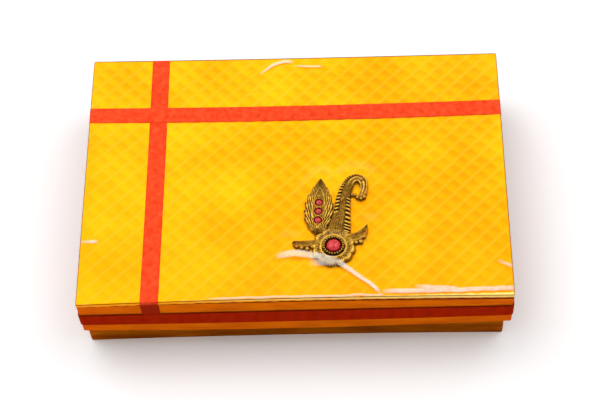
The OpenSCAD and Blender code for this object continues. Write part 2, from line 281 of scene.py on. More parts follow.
def embossed_foil():
    """Bright gold foil with the double grooves and basket weave between the embossed diamonds, with painted
    light
    in its colour: painted highlights on the lines and along the front edge, and painted shade towards the
    front.
    """
    look = Look("embossed gold foil", Metallic=0.6, Specular_IOR_Level=0.2, Specular_Tint=EDGE_TINT)
    x, y, z = look.axes()
    along, across = lattice(x, y)
    groove_at, groove_half = 0.87, 0.05
    strong = (1.0 - (across.ridge() - groove_at).size() / groove_half).clamped()
    faint = (1.0 - (along.ridge() - groove_at).size() / groove_half).clamped()
    dashes = ((along * 6).ridge() - 0.35).clamped()
    blotch = look.noise(22, 2.0)
    fine = look.noise(900, 2.0)
    lines = strong * (0.55 + 0.45 * blotch) + faint * dashes * 0.7
    weave = (along * 12).ridge() * (across * 12).ridge()
    height = lines + weave * 0.3 * blotch + fine * 0.15
    look.bump(height, 0.2 * MM, 0.6)
    warm = look.mix(blotch.above(0.38, 0.66), srgb(242, 157, 5), srgb(251, 177, 12))
    # Painted shade: the foil is painted deeper orange towards the front of the lid
    front = (0 - y - 0.02) / 0.09
    warm = look.mix((front * 0.6 + fine * 0.1).clamped() * 0.6, warm, srgb(244, 141, 3))
    # Painted highlight: the embossed lines are painted paler yellow, standing in for the light they catch
    painted_line_highlight = look.mix((lines * 0.62).clamped(), warm, srgb(255, 224, 78))
    # Painted highlight: a pale strip along the front edge of the top, made ragged by noise
    edge_y = (0 - y - (HALF_D - 2.6 * MM)) / (1.2 * MM) + (look.noise(160, 2.0) - 0.5) * 2.2
    on_top = (z - (TOP_Z - 0.8 * MM)) / (0.4 * MM)
    lit = edge_y.clamped() * (x + 0.09).above(0, 0.08) * on_top.clamped()
    wear_and_painted_highlight = look.mix(lit * 0.75, painted_line_highlight, srgb(255, 238, 140))
    look.feed("Base Color", wear_and_painted_highlight)
    look.feed("Roughness", 0.34 + 0.14 * blotch)
    return look.material


def smooth_foil(name, colour, deep, shade_from):
    """Smooth gold foil in colours set deeper amber as painted shade on the walls, and darker still in a
    painted shadow under an edge at shade_from.
    """
    look = Look(name, Metallic=0.94, Specular_IOR_Level=0.1, Specular_Tint=EDGE_TINT)
    _, _, z = look.axes()
    flattened = look.node("ShaderNodeMapping", {}, {0: look.place(), 3: (1, 1, 5)})
    streaks = look.noise(30, 3.0, 0.6, flattened)
    tone = look.mix(streaks.above(0.36, 0.68), deep, colour)
    # Painted shadow: a dark brown band just under the edge at shade_from
    ragged = (look.noise(420, 3.0) - 0.5) * 1.6 * MM
    painted_shadow = (z + ragged).above(shade_from - 0.9 * MM, shade_from - 0.2 * MM)
    look.feed("Base Color", look.mix(painted_shadow * 0.85, tone, srgb(70, 26, 2)))
    look.feed("Roughness", 0.3 + 0.16 * look.noise(55))
    look.bump(look.noise(40, 2.0) + look.noise(1500, 2.0) * 0.08, 0.5 * MM, 0.35)
    return look.material


def satin(name, colour, deep, dip, wall_shade):
    """Red satin ribbon, woven in fine ribs across its length, with painted shade where it dips into the
    embossing, a little darker at its edges, and painted shade deeper by wall_shade where it hangs down a
    wall."""
    look = Look(name, Specular_IOR_Level=0.0)
    uv = look.node("ShaderNodeTexCoord", {}, {}, "UV")
    along, across, _ = look.axes(uv)
    ribs = along.cycles(0.55 * MM) * 0.5 + across.cycles(0.4 * MM) * 0.35
    x, y, z = look.axes()
    first, second = lattice(x, y)
    dimple = (first.ridge() * second.ridge()).above(0.35, 0.9)
    slub = look.noise(260, 3.0)
    edge = (across / RIBBON_W - 0.5).size().above(0.44, 0.49)
    tone = look.mix(slub.above(0.35, 0.7), deep, colour)
    # Painted shade in the embossing's dips, in the colour dip, which also darkens the ribbon's edges
    tone = look.mix((dimple * 0.3 + edge * 0.35).clamped(), tone, dip)
    # Painted shade: deeper red where the ribbon hangs down a wall, by wall_shade
    painted_wall_shade = z.above(TOP_Z - 1.2 * MM, TOP_Z - 3 * MM) * wall_shade
    tone = look.mix(painted_wall_shade, tone, srgb(164, 30, 3))
    look.feed("Base Color", tone)
    look.feed("Roughness", 0.42 + 0.12 * slub)
    look.bump(ribs * 0.5 + slub * 0.4 - dimple * 0.8, 0.12 * MM, 0.6)
    return look.material


def antique_gold():
    """Cast metal in antique gold: rubbed bright on its ridges, dark brown in its hollows."""
    look = Look("antique gold casting", Metallic=0.9, Specular_IOR_Level=0.2)
    relief = look.attribute("relief")
    patina = look.noise(420, 4.0, 0.65)
    wear_and_painted_highlight = (relief + (patina - 0.5) * 0.7).above(0.18, 0.85)
    stops = [(0.0, srgb(38, 20, 4)), (0.35, srgb(96, 62, 14)), (0.7, srgb(158, 114, 34)),
             (1.0, srgb(204, 160, 62))]
    look.feed("Base Color", look.node("ShaderNodeValToRGB", {"stops": stops}, {0: wear_and_painted_highlight}))
    look.feed("Roughness", 0.5 - 0.22 * wear_and_painted_highlight)
    look.bump(look.noise(1300, 3.0) + patina * 0.5, 0.18 * MM, 0.6)
    return look.material


def red_stone(name, colour, deep):
    """Polished red stone, a little cloudy, with a thin gloss."""
    look = Look(name, Roughness=0.12, Coat_Weight=0.35, Coat_Roughness=0.03, Specular_IOR_Level=0.4)
    cloud = look.noise(150, 1.0)
    look.feed("Base Color", look.mix(cloud.above(0.3, 0.7), deep, colour))
    return look.material


def paper(name, colour, shade, grain=1.0):
    """Matt paper or board: faint fibres and specks, and a colour that wanders a little."""
    look = Look(name, Roughness=0.85, Specular_IOR_Level=0.3)
    fibre = look.noise(700, 4.0, 0.7)
    wander = look.noise(25, 2.0)
    speck = look.noise(2400, 1.0).above(0.66, 0.74)
    tone = look.mix(wander.above(0.35, 0.65), colour, shade)
    flecks = (fibre.above(0.4, 0.8) * 0.4 + speck * 0.3 * grain).clamped()
    look.feed("Base Color", look.mix(flecks, tone, shade))
    look.bump(fibre + speck * 0.5, 0.08 * MM * grain, 0.5)
    return look.material


# Painted highlights: streaks of light painted on the film where its creases would catch the lamps, in mm:
# from x to x, y at the start, slope, curvature, half width and strength
PAINTED_GLARE_STREAKS = (
    (-26, -1, 86.5, 1.15, -0.028, 1.6, 0.75),
    (-1, 21, 94.2, -0.04, 0.0, 0.9, 0.6),
    (-150, -137, -52.6, 0.0, 0.0, 1.5, 0.6),
    (139, 150, -75.2, -0.5, 0.0, 1.5, 0.6),
    (-13, 30, -67.4, 0.19, -0.0086, 2.4, 0.7),
    (26, 59, -72.0, -0.5, -0.0085, 2.3, 0.9),
    (10, 30, -73.5, 0.0, 0.0, 3.4, 0.38),
    (60, 150, -97.4, 0.0, 0.0, 2.1, 0.7),
    (82, 112, -94.2, -0.07, 0.0, 2.0, 0.7),
    (-60, 62, -99.8, 0.0, 0.0, 0.9, 0.45),
)


def clear_film():
    """Clear film: see-through, with a gloss that grows at a glance, and painted highlights in streaks where
    its creases would catch the light.
    """
    look = Look("clear film", Roughness=0.12, Specular_IOR_Level=0.6)
    x, y, z = look.axes()
    crumple = (look.noise(90, 3.0) - 0.5) * 2.4 * MM
    fade_in, fade_out = 9 * MM, 3 * MM
    painted_glare = 0.0
    for start, end, level, slope, curve, half, strength in PAINTED_GLARE_STREAKS:
        run = x - start * MM
        centre = run * slope + run * run * (curve / MM) + level * MM
        streak = ((1.0 - (y + crumple - centre).size() / (half * MM)) * 2).clamped()
        fade = (run / fade_in).clamped() * ((end * MM - x) / fade_out).clamped()
        painted_glare = look.math("MAXIMUM", painted_glare, streak * fade * strength)
    on_top = ((z - (TOP_Z - 1 * MM)) / (0.5 * MM)).clamped()
    painted_glare = painted_glare * on_top * (0.35 + 1.1 * look.noise(260, 2.0)).clamped()
    # Painted highlight: the streaks are painted cream and made less clear, standing in for glare on the
    # film's creases
    look.feed("Base Color", look.mix(painted_glare, srgb(235, 240, 245), srgb(255, 244, 206)))
    look.bump(look.noise(60, 2.0) + look.noise(350, 2.0) * 0.2, 0.8 * MM, 0.5)
    clear = look.node("ShaderNodeBsdfTransparent", {}, {})
    facing = look.node("ShaderNodeLayerWeight", {}, {0: 0.25}, "Fresnel")
    cover = (facing * 0.015 * (0.15 + on_top) + painted_glare * 0.62).clamped()
    glossy = Value(look, look.shader.outputs[0])
    mixed = look.node("ShaderNodeMixShader", {}, {0: cover, 1: clear, 2: glossy})
    output = look.tree.nodes["Material Output"]
    look.tree.links.new(mixed.socket, output.inputs["Surface"])
    return look.material


def foam():
    """White foam tape, open and a little uneven."""
    look = Look("foam tape", Roughness=0.95)
    pores = look.noise(1800, 2.0)
    look.feed("Base Color", look.mix(pores, srgb(214, 208, 194), srgb(240, 236, 226)))
    look.bump(pores, 0.2 * MM, 0.8)
    return look.material


def floor_finish():
    """Pale floor: white where it is seen, and duller as a lamp on the object."""
    look = Look("pale floor", Roughness=0.9, Specular_IOR_Level=0.0)
    path = look.node("ShaderNodeLightPath", {}, {})
    seen = Value(look, path.socket.node.outputs["Is Camera Ray"])
    for ray in ("Is Glossy Ray", "Is Transmission Ray"):
        seen = look.math("MAXIMUM", seen, Value(look, path.socket.node.outputs[ray]))
    look.feed("Base Color", look.mix(seen, srgb(150, 148, 144), srgb(252, 252, 252)))
    return look.material


FINISHES = {
    "embossed_gold_foil": embossed_foil(),
    # Painted shade: the lid's wall foil is set deeper amber for the walls' shade, and the base's foil
    # deeper still for the shade under the lid
    "lid_foil": smooth_foil("smooth gold foil", srgb(216, 116, 1), srgb(192, 96, 1), LAP_Z),
    "base_foil": smooth_foil("smooth gold foil of the base", srgb(170, 110, 3), srgb(130, 78, 2), RIM_Z),
    "red_ribbon": satin("red satin ribbon",
                        srgb(250, 86, 46), srgb(236, 64, 28), srgb(200, 40, 20), 0.8),
    # Painted shade: the rim ribbon's reds are set deeper, standing in for the shade on the walls it goes
    # round
    "rim_ribbon": satin("red satin ribbon in painted shade",
                        srgb(204, 44, 4), srgb(184, 34, 3), srgb(144, 20, 3), 0.0),
    "antique_gold": antique_gold(),
    "large_stone": red_stone("large red stone", srgb(232, 22, 34), srgb(196, 10, 24)),
    "red_stone": red_stone("small red stone", srgb(216, 30, 30), srgb(160, 14, 18)),
    "white_paper": paper("white lining paper", srgb(243, 239, 229), srgb(226, 220, 206)),
    "greyboard": paper("greyboard", srgb(168, 160, 146), srgb(132, 124, 112), 2.0),
    "kraft_paper": paper("kraft paper", srgb(200, 166, 114), srgb(166, 130, 84), 1.6),
    "foam_tape": foam(),
    "clear_film": clear_film(),
}


def step(low, high, v):
    """Smooth rise from 0 at low to 1 at high: 3 t^2 - 2 t^3."""
    t = np.clip((v - low) / (high - low), 0, 1)
    return t * t * (3 - 2 * t)


def warp_lid(points):
    """The lid sags by (1 - (x/a)^2)(1 - (y/b)^2), is twisted by 1 - xy/ab, and its long walls bow."""
    x, y, z = points.T
    bulge_x = np.clip(1 - (x / HALF_W) ** 2, 0, 1)
    bulge_y = np.clip(1 - (y / HALF_D) ** 2, 0, 1)
    height = np.clip((z - LID_Z) / (TOP_Z - LID_Z), 0, 1)
    front = step(BOW_REACH - HALF_D, -HALF_D, y)
    back = step(HALF_D - BOW_REACH, HALF_D, y)
    lift = TWIST * (1 - x * y / (HALF_W * HALF_D)) - SAG * bulge_x * bulge_y
    shift = bulge_x * (front * (BOW_TOP * height - FLARE * (1 - height)) - back * BOW_BACK)
    return np.stack([x, y + shift, z + lift], 1)


def warp_base(points):
    """The front wall of the base bows inwards by 1 - (x/a)^2."""
    x, y, z = points.T
    bulge = np.clip(1 - ((x - BASE_X) / BASE_HALF_W) ** 2, 0, 1)
    front = step(BOW_REACH - BASE_HALF_D, -BASE_HALF_D, y - BASE_Y)
    return np.stack([x, y + BASE_BOW * bulge * front, z], 1)


def cells(index):
    """Quads of a grid of vertex numbers."""
    return np.stack([index[:-1, :-1], index[1:, :-1], index[1:, 1:], index[:-1, 1:]], -1).reshape(-1, 4)


def loft(grid, round_u=False, round_v=False, caps=False, relief=None):
    """Surface through a grid of points, closed on itself along either way, with flat ends if asked.
    A part is its points, its faces and the relief at each point, which the finishes read."""
    rows, columns = grid.shape[:2]
    index = np.arange(rows * columns).reshape(rows, columns)
    if round_u:
        index = np.vstack([index, index[:1]])
    if round_v:
        index = np.hstack([index, index[:, :1]])
    faces = cells(index).tolist()
    if caps:
        outline = index[:-1] if round_u else index
        faces += [outline[::-1, 0].tolist(), outline[:, -1].tolist()]
    shade = np.zeros(rows * columns) if relief is None else np.asarray(relief, float).ravel()
    return grid.reshape(-1, 3), faces, shade


def slab(top, bottom, relief=None):
    """Thin body between two grids of points, with its four edges closed."""
    rows, columns = top.shape[:2]
    count = rows * columns
    index = np.arange(count).reshape(rows, columns)
    rim = np.concatenate([index[0, :], index[1:, -1], index[-1, -2::-1], index[-2:0:-1, 0]])
    after = np.roll(rim, -1)
    edge = np.stack([rim, rim + count, after + count, after], 1)
    faces = np.vstack([cells(index), cells(index + count)[:, ::-1], edge]).tolist()
    upper = np.zeros(count) if relief is None else np.asarray(relief, float).ravel()
    points = np.vstack([top.reshape(-1, 3), bottom.reshape(-1, 3)])
    return points, faces, np.concatenate([upper, np.zeros(count)])


def piece(name, parts, finish, body, warp=None, uv=None, sharp=40.0):
    """One mesh object from its parts, closed, with outward faces, riding on its body for its node."""
    points = np.vstack([part[0] for part in parts])
    relief = np.concatenate([part[2] for part in parts])
    faces, first = [], 0
    for part in parts:
        faces += [[first + corner for corner in face] for face in part[1]] if first else part[1]
        first += len(part[0])
    if warp:
        points = warp(points)
    mesh = bpy.data.meshes.new(name)
    mesh.from_pydata(points.tolist(), [], faces)
    mesh.attributes.new("relief", "FLOAT", "POINT").data.foreach_set("value", relief)
    if uv is not None:
        corner = np.empty(len(mesh.loops), np.int64)
        mesh.loops.foreach_get("vertex_index", corner)
        mesh.uv_layers.new(name="UVMap").data.foreach_set("uv", uv[corner].ravel())
    work = bmesh.new()
    work.from_mesh(mesh)
    bmesh.ops.remove_doubles(work, verts=work.verts, dist=1e-6)
    bmesh.ops.recalc_face_normals(work, faces=work.faces)
    work.to_mesh(mesh)
    work.free()
    mesh.shade_smooth()
    mesh.set_sharp_from_angle(angle=radians(sharp))
    made = bpy.data.objects.new(f"{name}_dressed", mesh)
    bpy.context.scene.collection.objects.link(made)
    mesh.materials.append(FINISHES[finish])
    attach(made, body)
    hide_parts(name)
    return made


def corner_turn(sign_x, sign_y, steps):
    """Outward directions round one upright corner, counterclockwise seen from above."""
    start = {(1, -1): -90, (1, 1): 0, (-1, 1): 90, (-1, -1): 180}[sign_x, sign_y]
    angle = np.radians(start + np.linspace(0, 90, steps))
    return np.cos(angle), np.sin(angle)


def ring(long_steps, short_steps, corner_steps=5):
    """Closed path round a rounded rectangle: shares of its inner corner, direction and slide."""
    rows = []
    turns = [(1, -1), (1, 1), (-1, 1), (-1, -1)]
    for k, (sx, sy) in enumerate(turns):
        nx, ny = corner_turn(sx, sy, corner_steps)
        rows += [(sx, sy, u, v, 0, 0) for u, v in zip(nx, ny)]
        tx, ty = turns[(k + 1) % 4]
        steps = short_steps if sx == tx else long_steps
        for t in np.linspace(0, 1, steps + 1)[1:-1]:
            rows.append((sx + (tx - sx) * t, sy + (ty - sy) * t, nx[-1], ny[-1], 0, 0))
    return np.array(rows)


def corner_strip(sign_x, sign_y, leg, steps=6):
    """Open path round one upright corner, with a straight leg on each side."""
    nx, ny = corner_turn(sign_x, sign_y, 5)
    slide = np.linspace(leg, 0, steps, endpoint=False)
    before = [(sign_x, sign_y, nx[0], ny[0], ny[0] * s, -nx[0] * s) for s in slide]
    middle = [(sign_x, sign_y, u, v, 0, 0) for u, v in zip(nx, ny)]
    after = [(sign_x, sign_y, nx[-1], ny[-1], -ny[-1] * s, nx[-1] * s) for s in slide[::-1]]
    return np.array(before + middle + after)


def carried(profile, path, half_w, half_d, centre=(0.0, 0.0)):
    """Profile of (depth, height, share) carried along a path: each point lies depth inside the
    outline, at its height, drawn towards the middle by its share."""
    depth, height, share = (profile[:, k, None] for k in range(3))
    radius = np.maximum(CORNER_R - depth, LEAST_R)
    sx, sy, nx, ny, ox, oy = path.T
    x = (sx * (half_w - depth - radius) + nx * radius + ox) * share + centre[0]
    y = (sy * (half_d - depth - radius) + ny * radius + oy) * share + centre[1]
    return np.stack([x, y, np.broadcast_to(height, x.shape)], -1)


def densify(corners, steps):
    """Polyline with each of its stretches cut into so many steps. A corner with no share has 1."""
    corners = np.array([c if len(c) == 3 else (*c, 1.0) for c in corners], float)
    at = np.concatenate([[0.0]] + [k + np.linspace(0, 1, n + 1)[1:] for k, n in enumerate(steps)])
    return np.stack([np.interp(at, np.arange(len(corners)), corners[:, k]) for k in range(3)], 1)


FULL_RING = ring(48, 34)


def lid_part(profile, closed=False):
    return loft(carried(profile, FULL_RING, HALF_W, HALF_D), round_u=closed, round_v=True)


def base_part(profile, closed=False):
    grid = carried(profile, FULL_RING, BASE_HALF_W, BASE_HALF_D, (BASE_X, BASE_Y))
    return loft(grid, round_u=closed, round_v=True)


def tray_profile(outside, inside, panel_out, panel_in, rim):
    """Section of a tray from the middle of one face of its panel, over its rim, to the middle of the
    other face."""
    corners = [(outside, panel_out, 0.0), (outside, panel_out), (outside, rim), (inside, rim),
               (inside, panel_in), (inside, panel_in, 0.0)]
    return densify(corners, [PANEL_STEPS, WALL_STEPS, 1, WALL_STEPS, PANEL_STEPS])


def make_lid_shells():
    """Board, lining and side wrap of the lid. The wrap goes down the wall, is turned in round its foot
    and comes back up behind itself."""
    pressed = PANEL_TOP - PILLOW_H - UNDER_VALLEYS
    board = tray_profile(LID_BOARD_OUT, LID_BOARD_IN, pressed, PANEL_UNDER, LID_Z + PAPER)
    piece("lid_board", [lid_part(board)], "greyboard", "lid", warp_lid)
    liner = tray_profile(LID_BOARD_IN, LID_IN, PANEL_UNDER, LINER_UNDER, LID_Z + TURN_IN + GAP)
    piece("lid_liner", [lid_part(liner)], "white_paper", "lid", warp_lid)
    wrap = densify([(PAPER, PANEL_TOP), (PAPER, LID_Z + FOLD), (PAPER + FOLD, LID_Z),
                    (LID_IN - FOLD, LID_Z), (LID_IN, LID_Z + FOLD), (LID_IN, LID_Z + TURN_IN),
                    (LID_BOARD_IN, LID_Z + TURN_IN), (LID_BOARD_IN, LID_Z + PAPER),
                    (2 * PAPER, LID_Z + PAPER), (2 * PAPER, PANEL_TOP)],
                   [12, 1, 1, 1, 5, 1, 5, 1, 12])
    parts = [lid_part(wrap, closed=True)]
    piece("lid_side_wrap", parts, "lid_foil", "lid", warp_lid)


def make_base_shells():
    """Board, lining, wrap and bottom sheet of the base. The wrap goes up the wall, over the rim and down
    inside, comes back behind itself and is turned under the bottom."""
    floor_top = 2 * PAPER + BOARD
    board = tray_profile(BASE_BOARD_IN, BASE_BOARD_OUT, floor_top, 2 * PAPER, RIM_Z - PAPER)
    piece("base_board", [base_part(board)], "greyboard", "base", warp_base)
    liner = tray_profile(BASE_IN, BASE_BOARD_IN, floor_top + PAPER, floor_top, RIM_Z - TURN_IN - GAP)
    piece("base_liner", [base_part(liner)], "white_paper", "base", warp_base)
    wrap = densify([(0, PAPER), (0, RIM_Z - FOLD), (FOLD, RIM_Z), (BASE_IN - FOLD, RIM_Z),
                    (BASE_IN, RIM_Z - FOLD), (BASE_IN, RIM_Z - TURN_IN), (BASE_BOARD_IN, RIM_Z - TURN_IN),
                    (BASE_BOARD_IN, RIM_Z - PAPER), (PAPER, RIM_Z - PAPER), (PAPER, 2 * PAPER),
                    (TURN_IN, 2 * PAPER), (TURN_IN, PAPER)],
                   [12, 1, 1, 1, 5, 1, 5, 1, 12, 3, 1])
    parts = [base_part(wrap, closed=True)]
    piece("base_foil_wrap", parts, "base_foil", "base", warp_base)
    hem = TURN_IN + GAP
    sheet = densify([(hem, 2 * PAPER, 0.0), (hem, 2 * PAPER), (hem, PAPER), (SHEET_INSET, PAPER),
                     (SHEET_INSET, 0), (SHEET_INSET, 0, 0.0)], [PANEL_STEPS, 1, 2, 1, PANEL_STEPS])
    piece("base_bottom_sheet", [base_part(sheet)], "white_paper", "base", warp_base)


def make_stays():
    """Paper strips that hold the upright corners of the two boards."""
    corners = ((-1, -1), (1, -1), (1, 1), (-1, 1))
    for number, (sx, sy) in enumerate(corners, 1):
        strip = corner_strip(sx, sy, STAY_LEG)
        for name, out, low, high, half, centre, warp in (
                ("lid", 2 * PAPER, LID_Z + PAPER, PANEL_TOP, (HALF_W, HALF_D), (0, 0), warp_lid),
                ("base", PAPER, 2 * PAPER, RIM_Z - PAPER, (BASE_HALF_W, BASE_HALF_D), (BASE_X, BASE_Y),
                 warp_base)):
            section = densify([(out, low), (out, high), (out + STAY, high), (out + STAY, low)], [6, 1, 6])
            grid = carried(section, strip, *half, centre)
            parts = [loft(grid, round_u=True, caps=True)]
            piece(f"{name}_corner_stay_{number}", parts, "kraft_paper", name, warp)


def over_lid(p, q, out):
    """Point of a sheet folded over the lid: p and q are lengths along the sheet from the middle of the
    panel. Past the panel's edge it turns round a quarter circle and then goes straight down."""
    cx = np.clip(p, CORNER_R - HALF_W, HALF_W - CORNER_R)
    cy = np.clip(q, CORNER_R - HALF_D, HALF_D - CORNER_R)
    dx, dy = p - cx, q - cy
    past = np.maximum(np.abs(dx), np.abs(dy))
    length = np.maximum(np.hypot(dx, dy), 1e-12)
    angle = np.minimum(past / CORNER_R, pi / 2)
    drop = np.maximum(past - CORNER_R * pi / 2, 0)
    reach = (CORNER_R + out) * np.sin(angle)
    z = TOP_Z - CORNER_R + (CORNER_R + out) * np.cos(angle) - drop
    return np.stack([cx + dx / length * reach, cy + dy / length * reach, z], -1)


def folded_length(half, down):
    """Length along the sheet from the middle to a point so far below the top on the wall."""
    return half - CORNER_R + CORNER_R * pi / 2 + (down - CORNER_R)


def fold_stations(half, spacing, down, wall_steps):
    """Stations along the sheet: even on the panel, closer round the fold, then down the wall."""
    flat = half - CORNER_R
    count = int(flat / spacing)
    inner = np.arange(-count, count + 1) * spacing
    inner = inner[np.abs(inner) < flat - 0.3 * spacing]
    bend = flat + np.linspace(0, CORNER_R * pi / 2, 5)
    wall = np.linspace(bend[-1], folded_length(half, down), wall_steps + 1)[1:]
    side = np.concatenate([bend, wall])
    return np.concatenate([-side[::-1], inner, side])


def pillow(x, y):
    """Depth of the embossing, 0 at a diamond's middle: -H (1 - (1 - |2u|^1.7) (1 - |2v|^1.7)), where
    u and v run from -0.5 to 0.5 across the diamond. It fades towards the edges and the front left."""
    along, across = lattice(x, y)
    u = np.abs(2 * (along - np.floor(along)) - 1)
    v = np.abs(2 * (across - np.floor(across)) - 1)
    shape = 1 - (1 - u ** 1.7) * (1 - v ** 1.7)
    inside = step(0, PLAIN_EDGE, HALF_W - np.abs(x)) * step(0, PLAIN_EDGE, HALF_D - np.abs(y))
    strength = 0.55 + 0.45 * step(-0.12, 0.10, x * 0.6 + y)
    return -PILLOW_H * shape * inside * strength


def make_top_sheet():
    """Embossed sheet folded over the lid's edges, with a lower edge that waves a little."""
    p, q = np.meshgrid(fold_stations(HALF_W, DIAMOND_W / DIAMOND_STEPS, TOP_Z - LAP_Z, 2),
                       fold_stations(HALF_D, DIAMOND_D / DIAMOND_STEPS, TOP_Z - LAP_Z, 2), indexing="ij")
    slow = np.sin(p / (3.1 * MM)) * np.sin(q / (2.3 * MM) + 1)
    quick = np.sin(p / (1.3 * MM) + q / MM)
    ragged = WAVE_H * (slow + quick)
    lowest = (np.abs(p) > HALF_W + WAVY_PAST) | (np.abs(q) > HALF_D + WAVY_PAST)
    sheet_z = pillow(p, q)
    upper = over_lid(p, q, sheet_z)
    lower = over_lid(p, q, sheet_z - PAPER)
    for side in (upper, lower):
        side[..., 2] += np.where(lowest, ragged, 0)
    parts = [slab(upper, lower)]
    piece("lid_top_sheet", parts, "embossed_gold_foil", "lid", warp_lid)


def flat_out(p, q):
    """The crosswise ribbon lies flat all the way."""
    return 0.0


def crossing(p, q):
    """The lengthwise ribbon steps up where it passes over the crosswise one."""
    edge = RIBBON_W / 2
    return CROSSING_LIFT * (1 - step(edge, edge + CROSSING_SLOPE, np.abs(p - CROSS_X)))


def make_top_ribbon(name, length_axis, centre, lift, half):
    """Ribbon over the lid along one axis, with its middle line at centre on the other. It shows the
    embossing faintly, its middle is raised by 1 - s^8, and lift(p, q) raises it over what it crosses."""
    length = fold_stations(half, RIBBON_STEP, TOP_Z - RIBBON_END, 8)
    width = np.linspace(-RIBBON_W / 2, RIBBON_W / 2, 13)
    along, across = np.meshgrid(length, width, indexing="ij")
    p, q = (along, across + centre) if length_axis == 0 else (across + centre, along)
    out = RIBBON_LIFT + RIBBON_DIP * pillow(p, q) + lift(p, q)
    crown = RIBBON_CROWN * (1 - (2 * across / RIBBON_W) ** 8)
    upper = over_lid(p, q, out + RIBBON_T + crown)
    lower = over_lid(p, q, out)
    uv = np.stack([along.ravel(), across.ravel() + RIBBON_W / 2], 1)
    both = np.vstack([uv, uv])
    made = piece(name, [slab(upper, lower)], "red_ribbon", "lid", warp_lid, both)


def make_rim_ribbon():
    """Ribbon round the four walls, and its lap at the back as a short strip over it."""
    low, high = RIM_LOW[2], RIM_HIGH[2]
    section = densify([(-RIM_INNER, low), (-RIM_INNER, high), (-RIM_OUTER, high), (-RIM_OUTER, low)],
                      [6, 1, 6])
    grid = carried(section, ring(90, 64), HALF_W, HALF_D)
    length = np.concatenate([[0], np.cumsum(np.linalg.norm(np.diff(grid[0], axis=0), axis=1))])
    uv = np.stack(np.broadcast_arrays(length[None, :], grid[..., 2] - low), -1).reshape(-1, 2)
    lap_x = HALF_W / 2 + np.linspace(-LAP / 2, LAP / 2, 9)
    lap_z = np.linspace(low, high, 5)
    x, z = np.meshgrid(lap_x, lap_z, indexing="ij")
    near = np.stack([x, np.full_like(x, HALF_D + RIM_OUTER - LAP_SINK), z], -1)
    far = near + np.array([0, LAP_T, 0])
    lap_uv = np.stack([x.ravel(), z.ravel() - low], 1)
    parts = [loft(grid, round_u=True, round_v=True), slab(far, near)]
    whole_uv = np.vstack([uv, lap_uv, lap_uv])
    made = piece("ribbon_rim", parts, "rim_ribbon", "lid", warp_lid, whole_uv)


# Ornament, in mm from the rosette's middle. The bird's neck and wings are middle lines with half
# widths, and its curls, scallops and the foam pads are middles with radii
NECK = ((1, 2, 8), (3.4, 12, 8.2), (4.7, 19, 7.3), (6.3, 29, 5.8), (7.2, 37.5, 5.2), (8.6, 45, 4.6),
        (10.8, 51, 4), (13.2, 54.8, 3.5), (16.9, 56.5, 3.1), (20.5, 55, 2.9), (22, 51.4, 2.8),
        (21.8, 47, 2.7), (20.4, 42.8, 2.1), (18.4, 39.8, 0.9))
LEFT_WING = ((-6, 2, 3.6), (-13, 3, 2.4), (-20, 2.8, 2.5), (-26, 3, 2.3), (-28.4, 3.6, 1.1))
RIGHT_WING = ((5, 5, 5), (12, 6.6, 3.4), (17.4, 8.2, 3.4), (21.4, 12, 2.4), (23.6, 16.4, 0.5))
CURLS = ((13.4, 42.6, 1.1), (15.4, 42.6, 1.4), (17.4, 40.6, 1.6), (19.8, 39.6, 1.5), (22, 40.8, 1.6),
         (22.8, 43.4, 1.2))
SCALLOPS = ((-25.6, 1.4, 1.7), (-22, 0.2, 1.6), (-18.2, -0.8, 1.8), (-14.6, 0.6, 1.6), (12.6, 4, 1.7),
            (15.8, 3.4, 1.7), (19, 4, 1.9), (21.4, 8, 1.7))
PADS = ((0, 0, 8), (-10, 27, 5), (6.3, 29, 4))
PAD_SINK = 0.4
PAD_PRESS = 0.05
CASTING_Z = ROSETTE_LOW[2] / MM
ROSETTE_TOP = ROSETTE_HIGH[2] / MM
# Bird: its thickness, the heights of a button and of its tip, and the teeth along its neck
BIRD_T = 2.2
BUTTON_H = 1.9
BUTTON_TIP_H = 2.3
NECK_TEETH = 38
# Feather: its size, its foot, its lean to the left in degrees, and the barbs along each edge
FEATHER_T = 1.8
FEATHER_L = 46.0
FEATHER_W = 22.0
FEATHER_FOOT = (-11.4, 10.3)
FEATHER_LEAN = 3.7
BARBS = 7
BARB_DEPTH = 0.16
# Rosette: its petals, and the turn in degrees of the outer and the inner ones
PETALS = 12
ROSETTE_R = 15.6
PETAL_TURN = 20
INNER_TURN = 35
# Ring of beads: its band's section as radii and heights over the rosette
BEADS = 22
BEAD_RING_R = 6.7
BEAD_R = 0.78
BEAD_Z = (0.3, 1.55)
BAND_R = (5.2, 5.4, 7.0, 7.3, 7.3, 5.2)
BAND_Z = (0.6, 0.85, 0.85, 0.5, -0.4, -0.4)
# Stones: the large one, and those on the feather, the first at a share of its length
CABOCHON_R = 4.9
CABOCHON_H = 3.0
STONES = 3
STONE_R = 2.5
STONE_H = 1.7
STONE_SINK = 0.3
STONE_PITCH = 7.25
FIRST_STONE = 0.24
# Film over the castings and over the large stone, and where its slope round each ends
CASTING_FILM = 4.1
CASTING_SLOPE = 15.0
STONE_FILM = 7.0
STONE_SLOPE = (5.2, 24.0)


def warp_ornament(points):
    """From mm about the rosette's middle to metres on the warped panel."""
    place = np.array([ROSETTE_X, ROSETTE_Y, 0])
    return warp_lid(points * MM + place)


def along_curve(knots, t):
    """Catmull-Rom curve through the knots, for shares t of the way along it."""
    knots = np.array(knots, float)
    at = np.clip(t, 0, 0.9999) * (len(knots) - 1)
    i = np.floor(at).astype(int)
    f = (at - i)[..., None]
    a, b = knots[np.maximum(i - 1, 0)], knots[i]
    c, d = knots[i + 1], knots[np.minimum(i + 2, len(knots) - 1)]
    return b + f / 2 * ((c - a) + f * ((2 * a - 5 * b + 4 * c - d) + f * (3 * b - a - 3 * c + d)))


